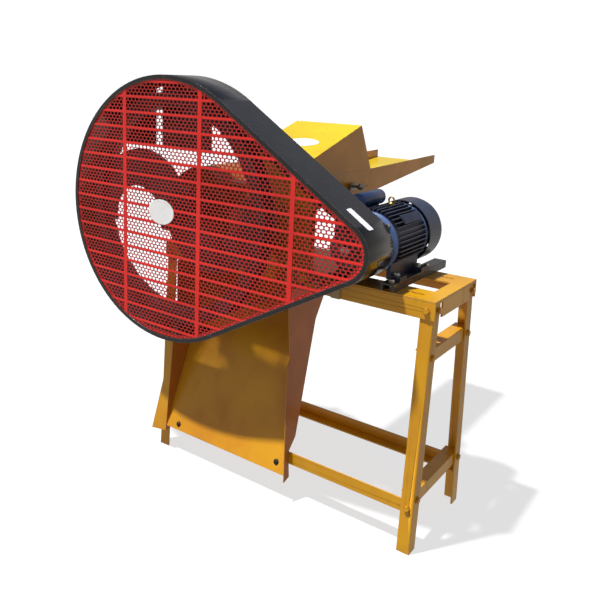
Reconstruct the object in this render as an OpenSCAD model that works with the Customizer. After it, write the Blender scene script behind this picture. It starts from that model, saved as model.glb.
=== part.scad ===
// Belt-driven hammer mill on an angle-iron bench, with its motor, feed tray and guard.
// X runs along the bench, Y from the guard to the feed tray, Z up from the floor.

/* [Bench] */
// Length of the bench top
bench_len = 1010; // [900:5:1300]
// Width of the bench top
bench_w = 305; // [290:5:420]
// Height of the bench top above the floor
bench_h = 760; // [620:5:940]
// How far each foot stands outside its top corner
leg_splay = 37; // [15:1:70]
// Flange of the angle iron round the top
beam_size = 50; // [40:1:60]
// Flange of the angle iron of the legs and rails
leg_size = 40; // [30:1:50]
// Thickness of the angle iron
angle_t = 5; // [4:0.5:6]
// Thickness of the bench top plate
plate_t = 5; // [4:0.5:8]
// Height of the low rails above the floor
rail_z = 120; // [80:5:200]
// Height of the mid rail above the floor
mid_rail_z = 572; // [420:2:600]
// Width of the motor's opening in the bench top
motor_slot_w = 118; // [80:2:130]

/* [Drive] */
// Place of the main shaft along the bench, from the middle
wheel_x = -376; // [-400:2:-350]
// Height of the main shaft above the bench top
shaft_rise = 145; // [138:1:170]
// Outer radius of the flywheel
wheel_r = 380; // [320:2:390]
// Depth of the flywheel's rim in the radial direction
rim_depth = 46; // [36:1:60]
// Width of the flywheel's rim
rim_w = 50; // [46:1:56]
// Radius of the main shaft
shaft_r = 17.5; // [15:0.5:20]
// Outer radius of the motor pulley
pulley_r = 52; // [44:1:60]
// Width of a belt
belt_w = 11.6; // [10:0.2:12]
// Thickness of a belt
belt_t = 8; // [6:0.5:9]
// Distance between the two belts
belt_pitch = 22; // [20:1:24]

/* [Guard] */
// Gap between the flywheel's rim and the guard
guard_gap = 50; // [30:1:60]
// Gap between the pulley and the guard
nose_gap = 40; // [30:1:50]
// Depth of the guard
guard_depth = 142; // [132:2:170]
// Gap between the guard and the bench's front edge
guard_off = 8; // [8:1:16]
// Thickness of the guard's sheet
guard_t = 2.5; // [2:0.5:4]
// Width of the lip that the mesh is fixed to
lip_w = 14; // [10:1:20]
// Distance between the solid strips of the mesh
strip_pitch = 50; // [40:2:60]

/* [Mill] */
// Outer radius of the mill's drum
drum_r = 130; // [126:1:134]
// Thickness of the drum's shell
shell_t = 4; // [3:0.5:6]
// Gap between the bench's front edge and the drum's front plate
drum_y = 30; // [28:1:40]
// Length of the drum, over its end plates
drum_len = 240; // [200:5:250]
// Radius of the rotor's discs
disc_r = 84; // [78:1:88]
// Distance of the hammer pins from the shaft
pin_circle = 66; // [60:1:68]
// Radius of the hammer pins
pin_r = 6; // [5:0.5:7]
// Length of a hammer from its pin to its tip
hammer_reach = 47; // [42:1:50]
// Width of a hammer
hammer_w = 30; // [24:1:32]
// Thickness of a hammer
hammer_t = 8; // [6:1:10]

/* [Motor] */
// Place of the motor along the bench, from the middle
motor_x = 280; // [265:1:285]
// Height of the motor's shaft above its feet
motor_rise = 100; // [100:1:112]
// Height of the two motor rails
motor_rail_h = 25; // [20:1:30]
// Outer radius over the cooling fins
fin_r = 97; // [94:1:98]
// Length of the finned frame
frame_len = 185; // [170:5:200]
// Radius of the fan cover
cover_r = 99; // [97:1:99]
// Radius of the motor shaft
motor_shaft_r = 14; // [12:0.5:16]

/* [Feed] */
// Right-hand wall of the feed box along the bench, from the middle
feed_x = 90; // [70:2:110]
// Width of the feed box and tray
feed_w = 252; // [220:2:270]
// Height of the tray's top edge above the bench top
tray_top = 290; // [280:1:310]
// How far the tray reaches behind the bench's front edge
tray_end = 895; // [700:5:950]
// Thickness of the feed sheets
sheet_t = 3; // [2:0.5:4]

/* [Hidden] */
$fn = 64;
eps = 0.5;                       // overrun of a cut past the face it opens
fit_gap = 0.05;                  // radial clearance of a running fit
part_gap = 0.4;                  // clearance between pieces that only lie side by side
bolt_r = 5;
hole_r = 5.5;
head_r = 9;
head_h = 7;

half_len = bench_len / 2;
half_w = bench_w / 2;
lean = atan(leg_splay / bench_h);
beam_top = bench_h - plate_t;
lean_room = beam_size * tan(lean) + part_gap;
leg_face_x = half_len - angle_t - part_gap;
rail_len = 2 * (leg_face_x - angle_t - part_gap);

wheel_z = bench_h + shaft_rise;
motor_z = bench_h + motor_rail_h + motor_rise;
guard_r = wheel_r + guard_gap + guard_t;
nose_r = pulley_r + nose_gap;
guard_y = -guard_depth - guard_off;
rim_y = guard_y + 40;            // front face of the rim and of the pulley
belt_y = rim_y + (rim_w - belt_pitch) / 2;
groove_depth = belt_t + 3;
belt_gap = 0.6;                  // clearance under and beside each belt

drum_end = drum_y + drum_len;
end_plate_t = 6;
drum_in = drum_r - shell_t;
foot_h = 6;
throat_low = wheel_z + 15;       // lower edge of the drum's inlet
throat_high = wheel_z + 90;
feed_left = feed_x - feed_w;
tray_z = bench_h + tray_top;
feed_floor = tray_z - 100;       // underside of the feed box
hood_top = tray_z + 147;
hood_front = tray_z + 60;
hood_y0 = 10;
hood_y1 = 287;
box_y1 = 365;
tray_y0 = box_y1 + part_gap;

motor_y0 = 5;
shield_l = 25;
frame_y = motor_y0 + shield_l;
frame_end = frame_y + frame_len;
cover_len = 85;
motor_end = frame_end + shield_l + cover_len;
foot_half = 80;

// The object's origin is the middle of its box, on the floor.
box_left = wheel_x - guard_r;
box_right = half_len + head_h;
origin_x = (box_left + box_right) / 2;
origin_y = (tray_end + guard_y) / 2;

// ---- helpers -------------------------------------------------------------------------

// Puts the bench's own frame, with X and Y from its top's middle and front edge, in place.
module placed() {
    translate([-origin_x, -origin_y, 0]) children();
}

// A flat shape drawn in X and Z, given a thickness from y0 towards the back.
module slab(y0, len) {
    translate([0, y0 + len, 0]) rotate([90, 0, 0]) linear_extrude(len) children();
}

module rod_y(x, z, y0, len, r) {
    translate([x, y0 + len, z]) rotate([90, 0, 0]) cylinder(h = len, r = r);
}

module rod_x(x0, y, z, len, r) {
    translate([x0, y, z]) rotate([0, 90, 0]) cylinder(h = len, r = r);
}

// A turned piece on an axis along Y: profile points are [radius, y].
module turned_y(x, z, profile) {
    translate([x, 0, z]) rotate([-90, 0, 0]) rotate_extrude($fn = 96) polygon(profile);
}

// Angle iron's outline, with its outer corner at the origin.
module angle_outline(size) {
    polygon([[0, 0], [-size, 0], [-size, -angle_t], [-angle_t, -angle_t],
        [-angle_t, -size], [0, -size]]);
}

// The outline round two circles that a belt or guard follows, with its round ends.
module teardrop(big_r, small_r) {
    run = norm([motor_x - wheel_x, motor_z - wheel_z]);
    slope = atan2(motor_z - wheel_z, motor_x - wheel_x);
    wrap = acos((big_r - small_r) / run);
    function tangent(x, z, r, side) = [x + r * cos(slope + side * wrap),
        z + r * sin(slope + side * wrap)];
    union() {
        translate([wheel_x, wheel_z]) circle(r = big_r, $fn = 180);
        translate([motor_x, motor_z]) circle(r = small_r, $fn = 96);
        polygon([tangent(wheel_x, wheel_z, big_r, 1), tangent(motor_x, motor_z, small_r, 1),
            tangent(motor_x, motor_z, small_r, -1), tangent(wheel_x, wheel_z, big_r, -1)]);
    }
}

// The same outline with its arcs in short chords, for the sheet and the belts.
module chord_teardrop(big_r, small_r) {
    run = norm([motor_x - wheel_x, motor_z - wheel_z]);
    slope = atan2(motor_z - wheel_z, motor_x - wheel_x);
    wrap = acos((big_r - small_r) / run);
    big_steps = 72;
    small_steps = 36;
    polygon(concat(
        [for (i = [0:big_steps]) let (a = slope + wrap + (360 - 2 * wrap) * i / big_steps)
            [wheel_x + big_r * cos(a), wheel_z + big_r * sin(a)]],
        [for (i = [0:small_steps]) let (a = slope - wrap + 2 * wrap * i / small_steps)
            [motor_x + small_r * cos(a), motor_z + small_r * sin(a)]]));
}

// Hexagon head with its washer and shank, pointing along +Z from the face it clamps.
module bolt(grip) {
    cylinder(h = 1.5, r = head_r + 2);
    translate([0, 0, 1.5]) cylinder(h = head_h - 1.5, r = head_r, $fn = 6);
    translate([0, 0, -grip]) cylinder(h = grip + 1, r = bolt_r);
}

// ---- bench ---------------------------------------------------------------------------

function leg_face_y(z) = half_w - angle_t - lean_room + (beam_top - z) * tan(lean);
function rail_face_y(z) = leg_face_y(z) - angle_t / cos(lean) - part_gap;

// Repeats a shape at both ends (sx) and both sides (sy) of the bench.
module mirrored(sx, sy) {
    translate([0, half_w, 0]) mirror([sx < 0 ? 1 : 0, 0, 0]) mirror([0, sy < 0 ? 1 : 0, 0])
        children();
}

top_bolt_z = beam_top - beam_size / 2;
top_bolt_x = leg_face_x - leg_size / 2;
top_bolt_y = leg_face_y(top_bolt_z) - leg_size / 2;
rail_bolt_z = rail_z + leg_size / 2;
side_rail_z = rail_z + 25;
side_bolt_z = side_rail_z + leg_size / 2;
mid_bolt_z = mid_rail_z + leg_size / 2;

// Bolts through the front and rear beams into the legs, and through the legs into the rails.
module across_bolts(grip) {
    translate([top_bolt_x, half_w, top_bolt_z]) rotate([-90, 0, 0]) bolt(grip);
    translate([top_bolt_x, leg_face_y(rail_bolt_z) + part_gap, rail_bolt_z])
        rotate([-90 + lean, 0, 0]) bolt(grip);
}

module along_bolts(grip, mid) {
    translate([half_len, top_bolt_y, top_bolt_z]) rotate([0, 90, 0]) bolt(grip);
    translate([leg_face_x, rail_face_y(side_bolt_z) - leg_size / 2 + 6, side_bolt_z])
        rotate([0, 90, 0]) bolt(grip);
    if (mid) translate([leg_face_x, rail_face_y(mid_bolt_z) - leg_size / 2 + 6, mid_bolt_z])
        rotate([0, 90, 0]) bolt(grip);
}

module bench_holes() {
    for (sx = [-1, 1], sy = [-1, 1]) mirrored(sx, sy) {
        translate([top_bolt_x, half_w - 60, top_bolt_z]) rotate([-90, 0, 0])
            cylinder(h = 80, r = hole_r);
        translate([top_bolt_x, leg_face_y(rail_bolt_z), rail_bolt_z]) rotate([-90 + lean, 0, 0])
            translate([0, 0, -30]) cylinder(h = 50, r = hole_r);
        translate([half_len - 40, top_bolt_y, top_bolt_z]) rotate([0, 90, 0])
            cylinder(h = 60, r = hole_r);
        translate([half_len - 40, rail_face_y(side_bolt_z) - leg_size / 2 + 6, side_bolt_z])
            rotate([0, 90, 0]) cylinder(h = 60, r = hole_r);
        if (sx > 0) translate([half_len - 40, rail_face_y(mid_bolt_z) - leg_size / 2 + 6,
            mid_bolt_z]) rotate([0, 90, 0]) cylinder(h = 60, r = hole_r);
    }
}

rail_slot_x = half_len - 72;
rail_bolt_y = [20, bench_w - 46];
drop_half = 75;                  // half length of the discharge opening

module top_plate() {
    color("gold") placed() difference() {
        translate([-half_len, 0, beam_top]) cube([bench_len, bench_w, plate_t]);
        // opening under the motor
        translate([motor_x - 150, (bench_w - motor_slot_w) / 2, beam_top - eps])
            cube([half_len - 45 - motor_x + 150, motor_slot_w, plate_t + 2 * eps]);
        // discharge opening under the drum
        drop_opening();
        // slots that the motor rails slide along
        motor_slots();
        drum_foot_holes();
    }
}

module drop_opening() {
    translate([wheel_x - drop_half, drum_y + end_plate_t + 2, beam_top - angle_t - eps])
        cube([2 * drop_half, drum_len - 2 * end_plate_t - 4, angle_t + plate_t + 2 * eps]);
}

module motor_slots() {
    for (x = [motor_x - foot_half, motor_x + foot_half], y = rail_bolt_y) rail_slot(x, y);
    for (y = [46, bench_w - 46]) rail_slot(rail_slot_x, y);
}

module rail_slot(x, y) {
    translate([0, 0, beam_top - angle_t - eps]) linear_extrude(angle_t + plate_t + 2 * eps) {
        translate([x - 14, y - hole_r]) square([28, 2 * hole_r]);
        translate([x - 14, y]) circle(r = hole_r);
        translate([x + 14, y]) circle(r = hole_r);
    }
}

module long_beam(side) {
    color("goldenrod") placed() difference() {
        mirrored(1, side) translate([-half_len, half_w, beam_top]) rotate([90, 0, 90])
            linear_extrude(bench_len) angle_outline(beam_size);
        bench_clear();
    }
}

module bench_clear() {
    bench_holes();
    motor_slots();
    drum_foot_holes();
    drop_opening();
}

module front_beam() { long_beam(-1); }
module rear_beam() { long_beam(1); }

module end_beam(side) {
    color("goldenrod") placed() difference() {
        mirrored(side, 1) translate([half_len, -half_w + beam_size + part_gap, beam_top])
            rotate([-90, 0, 0]) mirror([0, 1, 0])
                linear_extrude(bench_w - 2 * beam_size - 2 * part_gap) angle_outline(beam_size);
        bench_clear();
    }
}

module left_beam() { end_beam(-1); }
module right_beam() { end_beam(1); }

module leg(sx, sy) {
    color("goldenrod") placed() difference() {
        mirrored(sx, sy) intersection() {
            translate([leg_face_x, leg_face_y(beam_top), beam_top]) rotate([lean, 0, 0])
                translate([0, 0, -bench_h * 1.1]) linear_extrude(bench_h * 1.2)
                    angle_outline(leg_size);
            translate([leg_face_x - 2 * leg_size, 0, 0])
                cube([4 * leg_size, half_w * 2, beam_top - angle_t - part_gap]);
        }
        bench_holes();
    }
}

module leg_front_left() { leg(-1, -1); }
module leg_front_right() { leg(1, -1); }
module leg_rear_left() { leg(-1, 1); }
module leg_rear_right() { leg(1, 1); }

module low_rail(side) {
    color("goldenrod") placed() difference() {
        mirrored(1, side) translate([-rail_len / 2, rail_face_y(rail_z + leg_size), rail_z])
            mirror([0, 0, 1]) rotate([90, 0, 90]) linear_extrude(rail_len)
                angle_outline(leg_size);
        bench_holes();
    }
}

module low_rail_front() { low_rail(-1); }
module low_rail_rear() { low_rail(1); }

// A rail across one end, with its upright flange against the legs.
module cross_rail(side, z, reach) {
    color("goldenrod") placed() difference() {
        mirrored(side, 1) translate([leg_face_x - angle_t - part_gap, -reach, z + leg_size])
            rotate([-90, 0, 0]) mirror([0, 1, 0]) linear_extrude(2 * reach)
                angle_outline(leg_size);
        bench_holes();
    }
}

side_reach = rail_face_y(rail_z + leg_size) - angle_t - part_gap;
module low_rail_left() { cross_rail(-1, side_rail_z, side_reach); }
module low_rail_right() { cross_rail(1, side_rail_z, side_reach); }
module mid_rail() { cross_rail(1, mid_rail_z, rail_face_y(mid_rail_z + leg_size)); }

module bench_bolts() {
    color("gray") placed() for (sx = [-1, 1], sy = [-1, 1]) mirrored(sx, sy) {
        across_bolts(16);
        along_bolts(16, sx > 0);
    }
}

// ---- mill drum -----------------------------------------------------------------------

foot_w = 30;

module drum_foot_spots() {
    for (x = [wheel_x - 80, wheel_x + 80]) for (y = [drum_y - foot_w / 2 + 3,
        drum_end + foot_w / 2 - 3]) translate([x, y, 0]) children();
}

module drum_foot_holes() {
    drum_foot_spots() translate([0, 0, beam_top - angle_t - 2]) cylinder(h = 40, r = hole_r);
}

// Outline of the drum: round above the shaft, straight down to the bench below it.
module drum_outline(r) {
    translate([wheel_x, wheel_z]) circle(r = r, $fn = 120);
    translate([wheel_x - r, bench_h + part_gap]) square([2 * r, shaft_rise - part_gap]);
}

module end_plate(y0, foot_y) {
    color("saddlebrown") placed() difference() {
        union() {
            slab(y0, end_plate_t) drum_outline(drum_r);
            translate([wheel_x - drum_r, foot_y, bench_h + part_gap])
                cube([2 * drum_r, foot_w, foot_h]);
        }
        rod_y(wheel_x, wheel_z, y0 - foot_w, 2 * foot_w + end_plate_t, shaft_r + 6);
        bearing_spots() rotate([90, 0, 0])
            translate([0, 0, -drum_end - 20]) cylinder(h = drum_end + 60, r = hole_r);
        drum_foot_holes();
    }
}

module bearing_spots() {
    for (a = [45:90:315]) translate([wheel_x + bearing_bolt_circle * cos(a), 0,
        wheel_z + bearing_bolt_circle * sin(a)]) children();
}

module mill_front_plate() { end_plate(drum_y, drum_y - foot_w + end_plate_t); }
module mill_rear_plate() { end_plate(drum_end - end_plate_t, drum_end - end_plate_t); }

module mill_shell() {
    len = drum_len - 2 * end_plate_t - 2 * part_gap;
    color("darkgoldenrod") placed() difference() {
        slab(drum_y + end_plate_t + part_gap, len) difference() {
            drum_outline(drum_r);
            drum_outline(drum_in);
            translate([wheel_x - drum_in, bench_h - 1]) square([2 * drum_in, shaft_rise]);
        }
        // inlet on the feed side
        translate([wheel_x + 40, drum_y + 20, throat_low])
            cube([2 * drum_r, drum_len - 40, throat_high - throat_low]);
    }
}

screen_r = pin_circle + hammer_reach + 9;

module screen() {
    len = drum_len - 2 * end_plate_t - 2 * part_gap;
    color("silver") placed() difference() {
        slab(drum_y + end_plate_t + part_gap, len) difference() {
            translate([wheel_x, wheel_z]) circle(r = screen_r + 2, $fn = 120);
            translate([wheel_x, wheel_z]) circle(r = screen_r, $fn = 120);
            translate([wheel_x - drum_r, wheel_z - 4]) square([2 * drum_r, drum_r]);
        }
        for (a = [200:14:340], k = [0:5])
            translate([wheel_x, drum_y + 32 + k * 35, wheel_z]) rotate([0, -a, 0])
                translate([screen_r - 5, 0, 0]) rotate([0, 90, 0]) cylinder(h = 12, r = 7);
    }
}

bearing_len = 26;
bearing_boss_r = 34.5;
bearing_bolt_circle = 46;

module flange_bearing(y0, face) {
    color("dimgray") placed() difference() {
        union() {
            slab(face, 10) bearing_flange();
            rod_y(wheel_x, wheel_z, y0, bearing_len, bearing_boss_r);
        }
        rod_y(wheel_x, wheel_z, y0 - 1, bearing_len + 2, shaft_r + fit_gap);
        bearing_spots() rotate([90, 0, 0]) translate([0, 0, -drum_end - 40])
            cylinder(h = drum_end + 80, r = hole_r);
    }
}

module bearing_flange() {
    difference() {
        translate([wheel_x - 46, wheel_z - 46]) square(92);
        for (a = [45:90:315]) translate([wheel_x + 62 * cos(a), wheel_z + 62 * sin(a)])
            rotate(a) translate([-4, -20]) square([20, 40]);
    }
}

module front_bearing() {
    flange_bearing(drum_y - part_gap - bearing_len, drum_y - part_gap - 10);
}
module rear_bearing() { flange_bearing(drum_end + part_gap, drum_end + part_gap); }

module mill_bolts() {
    color("gray") placed() {
        bearing_spots() {
            translate([0, drum_y - part_gap - 10, 0]) rotate([90, 0, 0]) bolt(20);
            translate([0, drum_end + part_gap + 10, 0]) rotate([-90, 0, 0]) bolt(20);
        }
        drum_foot_spots() translate([0, 0, bench_h + part_gap + foot_h]) bolt(20);
    }
}

// ---- rotor ---------------------------------------------------------------------------

hub_end = -22;
shaft_tail = drum_end + 60;

module main_shaft() {
    color("silver") placed() difference() {
        rod_y(wheel_x, wheel_z, rim_y - 14, shaft_tail - rim_y + 14, shaft_r);
        translate([wheel_x - 4, rim_y, wheel_z + shaft_r - 4]) cube([8, rim_w, 10]);
    }
}

disc_t = 8;
disc_count = 4;
rotor_y = drum_y + end_plate_t + 14;
rotor_len = drum_len - 2 * end_plate_t - 28;
disc_step = (rotor_len - disc_t) / (disc_count - 1);
rim_inner = wheel_r - rim_depth;

module pin_spots() {
    for (a = [45:90:315]) translate([wheel_x + pin_circle * cos(a), 0,
        wheel_z + pin_circle * sin(a)]) children();
}

module rotor_discs() {
    color("slategray") placed() difference() {
        union() {
            for (i = [0:disc_count - 1])
                rod_y(wheel_x, wheel_z, rotor_y + i * disc_step, disc_t, disc_r);
            rod_y(wheel_x, wheel_z, rotor_y, rotor_len, shaft_r + 12);
        }
        rod_y(wheel_x, wheel_z, rotor_y - 1, rotor_len + 2, shaft_r + fit_gap);
        pin_spots() rotate([90, 0, 0]) translate([0, 0, -rotor_y - rotor_len - 2])
            cylinder(h = rotor_len + 4, r = pin_r + fit_gap);
    }
}

module hammer_pins() {
    color("silver") placed() pin_spots() translate([0, rotor_y + rotor_len + 4, 0])
        rotate([90, 0, 0]) {
            cylinder(h = rotor_len + 8, r = pin_r);
            cylinder(h = 3.5, r = pin_r + 3);
            translate([0, 0, rotor_len + 4.5]) cylinder(h = 3.5, r = pin_r + 3);
        }
}

// One row of swinging hammers, a bar between each two discs, on the pin at angle a.
module hammer_row(a) {
    color("dimgray") placed() translate([wheel_x, 0, wheel_z]) rotate([0, -a, 0])
        for (i = [0:disc_count - 2])
            translate([pin_circle, rotor_y + disc_t + i * disc_step + (disc_step - disc_t
                - hammer_t) / 2, 0]) difference() {
                slab(0, hammer_t) {
                    circle(r = hammer_w / 2);
                    translate([0, -hammer_w / 2]) square([hammer_reach, hammer_w]);
                }
                rod_y(0, 0, -1, hammer_t + 2, pin_r + fit_gap);
            }
}

module hammer_row_1() { hammer_row(45); }
module hammer_row_2() { hammer_row(135); }
module hammer_row_3() { hammer_row(225); }
module hammer_row_4() { hammer_row(315); }

// A V groove for one belt, as a ring that the rim or the pulley is cut with.
module groove(x, z, r, y0) {
    low = r - groove_depth;
    side = groove_depth * tan(19);
    turned_y(x, z, [[low, y0 - belt_gap], [low, y0 + belt_w + belt_gap],
        [r + 1, y0 + belt_w + belt_gap + side], [r + 1, y0 - belt_gap - side]]);
}

arm_r = 0.54 * wheel_r;
arm_hole_r = 0.3 * wheel_r;

// One broad arm: a crescent that rises from the hub, arches over and meets the rim.
module arm_outline() {
    difference() {
        intersection() {
            translate([-0.41 * wheel_r, -0.05 * wheel_r]) circle(r = arm_r, $fn = 120);
            circle(r = rim_inner + 4, $fn = 180);
        }
        translate([-0.46 * wheel_r, -0.145 * wheel_r]) circle(r = arm_hole_r, $fn = 96);
        translate([-1.2 * wheel_r, -2 * wheel_r]) square([2.4 * wheel_r, 1.8 * wheel_r]);
        translate([-0.46 * wheel_r - arm_hole_r, -0.6 * wheel_r])
            square([2 * arm_hole_r, 0.455 * wheel_r]);
    }
}

module flywheel() {
    arm_t = 14;
    color("darkslategray") placed() difference() {
        union() {
            turned_y(wheel_x, wheel_z, [[rim_inner, rim_y], [wheel_r, rim_y],
                [wheel_r, rim_y + rim_w], [rim_inner, rim_y + rim_w]]);
            slab(rim_y + (rim_w - arm_t) / 2, arm_t) for (turn = [0, 180])
                translate([wheel_x, wheel_z]) rotate(turn) arm_outline();
            rod_y(wheel_x, wheel_z, rim_y - 4, hub_end - rim_y + 4, 52);
        }
        rod_y(wheel_x, wheel_z, rim_y - 20, rim_w + 120, shaft_r + fit_gap);
        for (k = [0, 1]) groove(wheel_x, wheel_z, wheel_r, belt_y + k * belt_pitch - belt_w / 2);
    }
}

module flywheel_nut() {
    color("gray") placed() difference() {
        translate([wheel_x, rim_y - 4 - part_gap, wheel_z]) rotate([90, 0, 0])
            cylinder(h = 9, r = 30, $fn = 6);
        rod_y(wheel_x, wheel_z, rim_y - 16, 20, shaft_r + fit_gap);
    }
}

module v_belts() {
    big = wheel_r - groove_depth + belt_gap;
    small = pulley_r - groove_depth + belt_gap;
    color("black") placed() for (k = [0, 1])
        slab(belt_y + k * belt_pitch - belt_w / 2, belt_w) difference() {
            chord_teardrop(big + belt_t, small + belt_t);
            chord_teardrop(big, small);
        }
}

// ---- feed ----------------------------------------------------------------------------

// Square duct between the drum's inlet and the feed box.
module feed_throat() {
    color("chocolate") placed() difference() {
        translate([wheel_x + drum_r / 2, drum_y + 12, throat_low - sheet_t])
            cube([feed_left - wheel_x - drum_r / 2 - part_gap, drum_len - 24,
                throat_high - throat_low + 2 * sheet_t]);
        translate([wheel_x, drum_y + 12 + sheet_t, throat_low])
            cube([feed_left - wheel_x, drum_len - 24 - 2 * sheet_t, throat_high - throat_low]);
        // saddle on the drum
        rod_y(wheel_x, wheel_z, drum_y, drum_len, drum_r + part_gap);
    }
}

gate_z = feed_floor + 42;
gate_t = 3;
gate_y0 = hood_y0 + 10;
gate_y1 = box_y1 - 15;

// Box under the hood: front, sides and sloping floor, open at the back towards the tray.
module feed_box() {
    color("goldenrod") placed() difference() {
        union() {
            for (x = [feed_left, feed_x - sheet_t]) translate([x, 0, 0])
                side_sheet([[hood_y0, feed_floor], [box_y1, feed_floor + 18],
                    [box_y1, tray_z], [hood_y0, tray_z]]);
            // guides under the gate, and the wall behind it
            for (y = [gate_y0 - 5, gate_y1 - 5])
                translate([feed_left + sheet_t, y, gate_z - 6]) cube([feed_w - 2 * sheet_t, 10, 5]);
            translate([feed_left + sheet_t, gate_y1 + 2, gate_z - 6])
                cube([feed_w - 2 * sheet_t, box_y1 - gate_y1 - 2, 6]);
            translate([feed_left + sheet_t, box_y1 - sheet_t, feed_floor + 18])
                cube([feed_w - 2 * sheet_t, sheet_t, gate_z - feed_floor - 18]);
            translate([feed_left + sheet_t, hood_y0, feed_floor])
                cube([feed_w - 2 * sheet_t, sheet_t, tray_z - feed_floor]);
            translate([feed_left + sheet_t, 0, 0]) rotate([90, 0, 90])
                linear_extrude(feed_w - 2 * sheet_t) polygon([[hood_y0, feed_floor],
                    [box_y1, feed_floor + 18], [box_y1, feed_floor + 18 + sheet_t],
                    [hood_y0, feed_floor + sheet_t]]);
        }
        // outlet to the throat
        translate([feed_left - 1, drum_y + 15, throat_low + 30])
            cube([sheet_t + 2, drum_len - 30, gate_z - throat_low - 34]);
        // slot for the gate
        translate([feed_x - sheet_t - 1, gate_y0 - 1, gate_z - 1])
            cube([sheet_t + 2, gate_y1 - gate_y0 + 2, gate_t + 2]);
    }
}

// A sheet standing across X, drawn in Y and Z.
module side_sheet(points) {
    rotate([90, 0, 90]) linear_extrude(sheet_t) polygon(points);
}

module hood() {
    low = tray_z + part_gap;
    color("gold") placed() union() {
        for (x = [feed_left, feed_x - sheet_t]) translate([x, 0, 0])
            side_sheet([[hood_y0, low], [box_y1, low], [hood_y1, hood_top],
                [hood_y0, hood_front]]);
        translate([feed_left, 0, 0]) rotate([90, 0, 90]) linear_extrude(feed_w)
            polygon([[hood_y0, hood_front - sheet_t], [hood_y1, hood_top - sheet_t],
                [hood_y1, hood_top], [hood_y0, hood_front]]);
        translate([feed_left, hood_y0, low]) cube([feed_w, sheet_t, hood_front - low - 1]);
    }
}

module feed_tray() {
    lip = tray_z + 10;
    end_low = tray_z - 22;
    start_low = feed_floor + 18;
    color("gold") placed() union() {
        for (x = [feed_left, feed_x - sheet_t]) translate([x, 0, 0])
            side_sheet([[tray_y0, start_low], [tray_end, end_low], [tray_end, lip],
                [tray_y0, tray_z]]);
        translate([feed_left, 0, 0]) rotate([90, 0, 90]) linear_extrude(feed_w)
            polygon([[tray_y0, gate_z - sheet_t], [tray_end, end_low],
                [tray_end, end_low + sheet_t], [tray_y0, gate_z]]);
    }
}

knob_y = 240;

// Flat gate with a tongue, an upturned end and a ball knob outside the feed box.
module slide_gate() {
    color("silver") placed() union() {
        translate([feed_left + sheet_t + 1, gate_y0, gate_z])
            cube([feed_w - sheet_t - 1, gate_y1 - gate_y0, gate_t]);
        translate([feed_x - 1, knob_y - 25, gate_z]) cube([13, 50, gate_t]);
        translate([feed_x + 8, knob_y - 25, gate_z]) cube([4, 50, 22]);
        rod_x(feed_x + 11, knob_y, gate_z + 12, 15, 5);
        translate([feed_x + 34, knob_y, gate_z + 12]) sphere(r = 11);
    }
}

module feed_stand() {
    stand_top = feed_floor - part_gap;
    color("darkgoldenrod") placed() union() {
        translate([feed_left + 24, hood_y0, bench_h + part_gap])
            cube([feed_w - 24, sheet_t, stand_top - bench_h - part_gap]);
        translate([feed_left + 24, hood_y0, bench_h + part_gap]) cube([feed_w - 24, 28, sheet_t]);
        translate([feed_left + 24, bench_w - 30, bench_h + part_gap]) cube([60, 28, sheet_t]);
        translate([feed_left + 24, bench_w - 30 + 25, bench_h + part_gap])
            cube([60, sheet_t, stand_top - bench_h - part_gap + 14]);
    }
}

// ---- discharge chute -----------------------------------------------------------------

chute_top = beam_top - beam_size - 4;
chute_low = 72;

chute_rail_gap = 1;              // between the chute and the left-hand low rail
chute_left = leg_size + angle_t + part_gap - leg_face_x + chute_rail_gap;
chute_right = chute_left + 523;  // at the foot
chute_lean = 54;                 // how far the right side leans in at the top
chute_rise = chute_top - chute_low;
foot_y = -54;
back_low = [foot_y + 4, chute_low + 22];
back_knee = [150, chute_top - 141];
back_high = [drum_end - 8, chute_top];

// A side plate, drawn in Y and in the height above its foot.
module chute_side() {
    side_sheet([[foot_y, 0], [foot_y + 30, 8], [foot_y + 32, 92], [20, 130],
        [back_knee.x + 9, back_knee.y - chute_low],
        [back_high.x + 9, chute_rise], [4, chute_rise], [4, 396], [foot_y + 40, 370]]);
}

module discharge_chute() {
    mid = sheet_t / 2;
    color("goldenrod") placed() union() {
        // back plate, folded at its knee and narrower at the top
        intersection() {
            translate([chute_left + mid, 0, 0]) rotate([90, 0, 90])
                linear_extrude(chute_right - chute_left) polygon([back_low, back_knee, back_high,
                    back_high + [sheet_t, 0], back_knee + [sheet_t, 0], back_low + [sheet_t, 0]]);
            slab(foot_y - 40, drum_end - foot_y + 80) polygon([[chute_left, chute_low - 10],
                [chute_right + mid, chute_low], [chute_right + mid - chute_lean, chute_top],
                [chute_right + mid - chute_lean, chute_top + 10], [chute_left, chute_top + 10]]);
        }
        translate([chute_left, 0, chute_low]) chute_side();
        translate([chute_right, 0, chute_low]) rotate([0, -atan(chute_lean / chute_rise), 0])
            chute_side();
        // flared corner at the left edge
        translate([chute_left + mid, foot_y + 1, chute_low + 2]) rotate([-6.5, 0, 0]) slab(0, sheet_t)
            polygon([[0, 0], [0, 366], [-66 - mid, -10]]);
    }
}

// ---- guard ---------------------------------------------------------------------------

module guard_band() {
    color("black") placed() union() {
        slab(guard_y, guard_depth) difference() {
            teardrop(guard_r, nose_r);
            teardrop(guard_r - guard_t, nose_r - guard_t);
        }
        slab(guard_y, guard_t) difference() {
            teardrop(guard_r - guard_t / 2, nose_r - guard_t / 2);
            teardrop(guard_r - lip_w, nose_r - lip_w);
        }
        slab(-guard_off - guard_t, guard_t) difference() {
            teardrop(guard_r - guard_t / 2, nose_r - guard_t / 2);
            teardrop(guard_r - lip_w, nose_r - lip_w);
        }
    }
}

mesh_y = guard_y + guard_t + part_gap;
mesh_r = guard_r - guard_t - 2;
mesh_nose = nose_r - guard_t - 2;
strip_w = 8;
mesh_t = 2;

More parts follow.
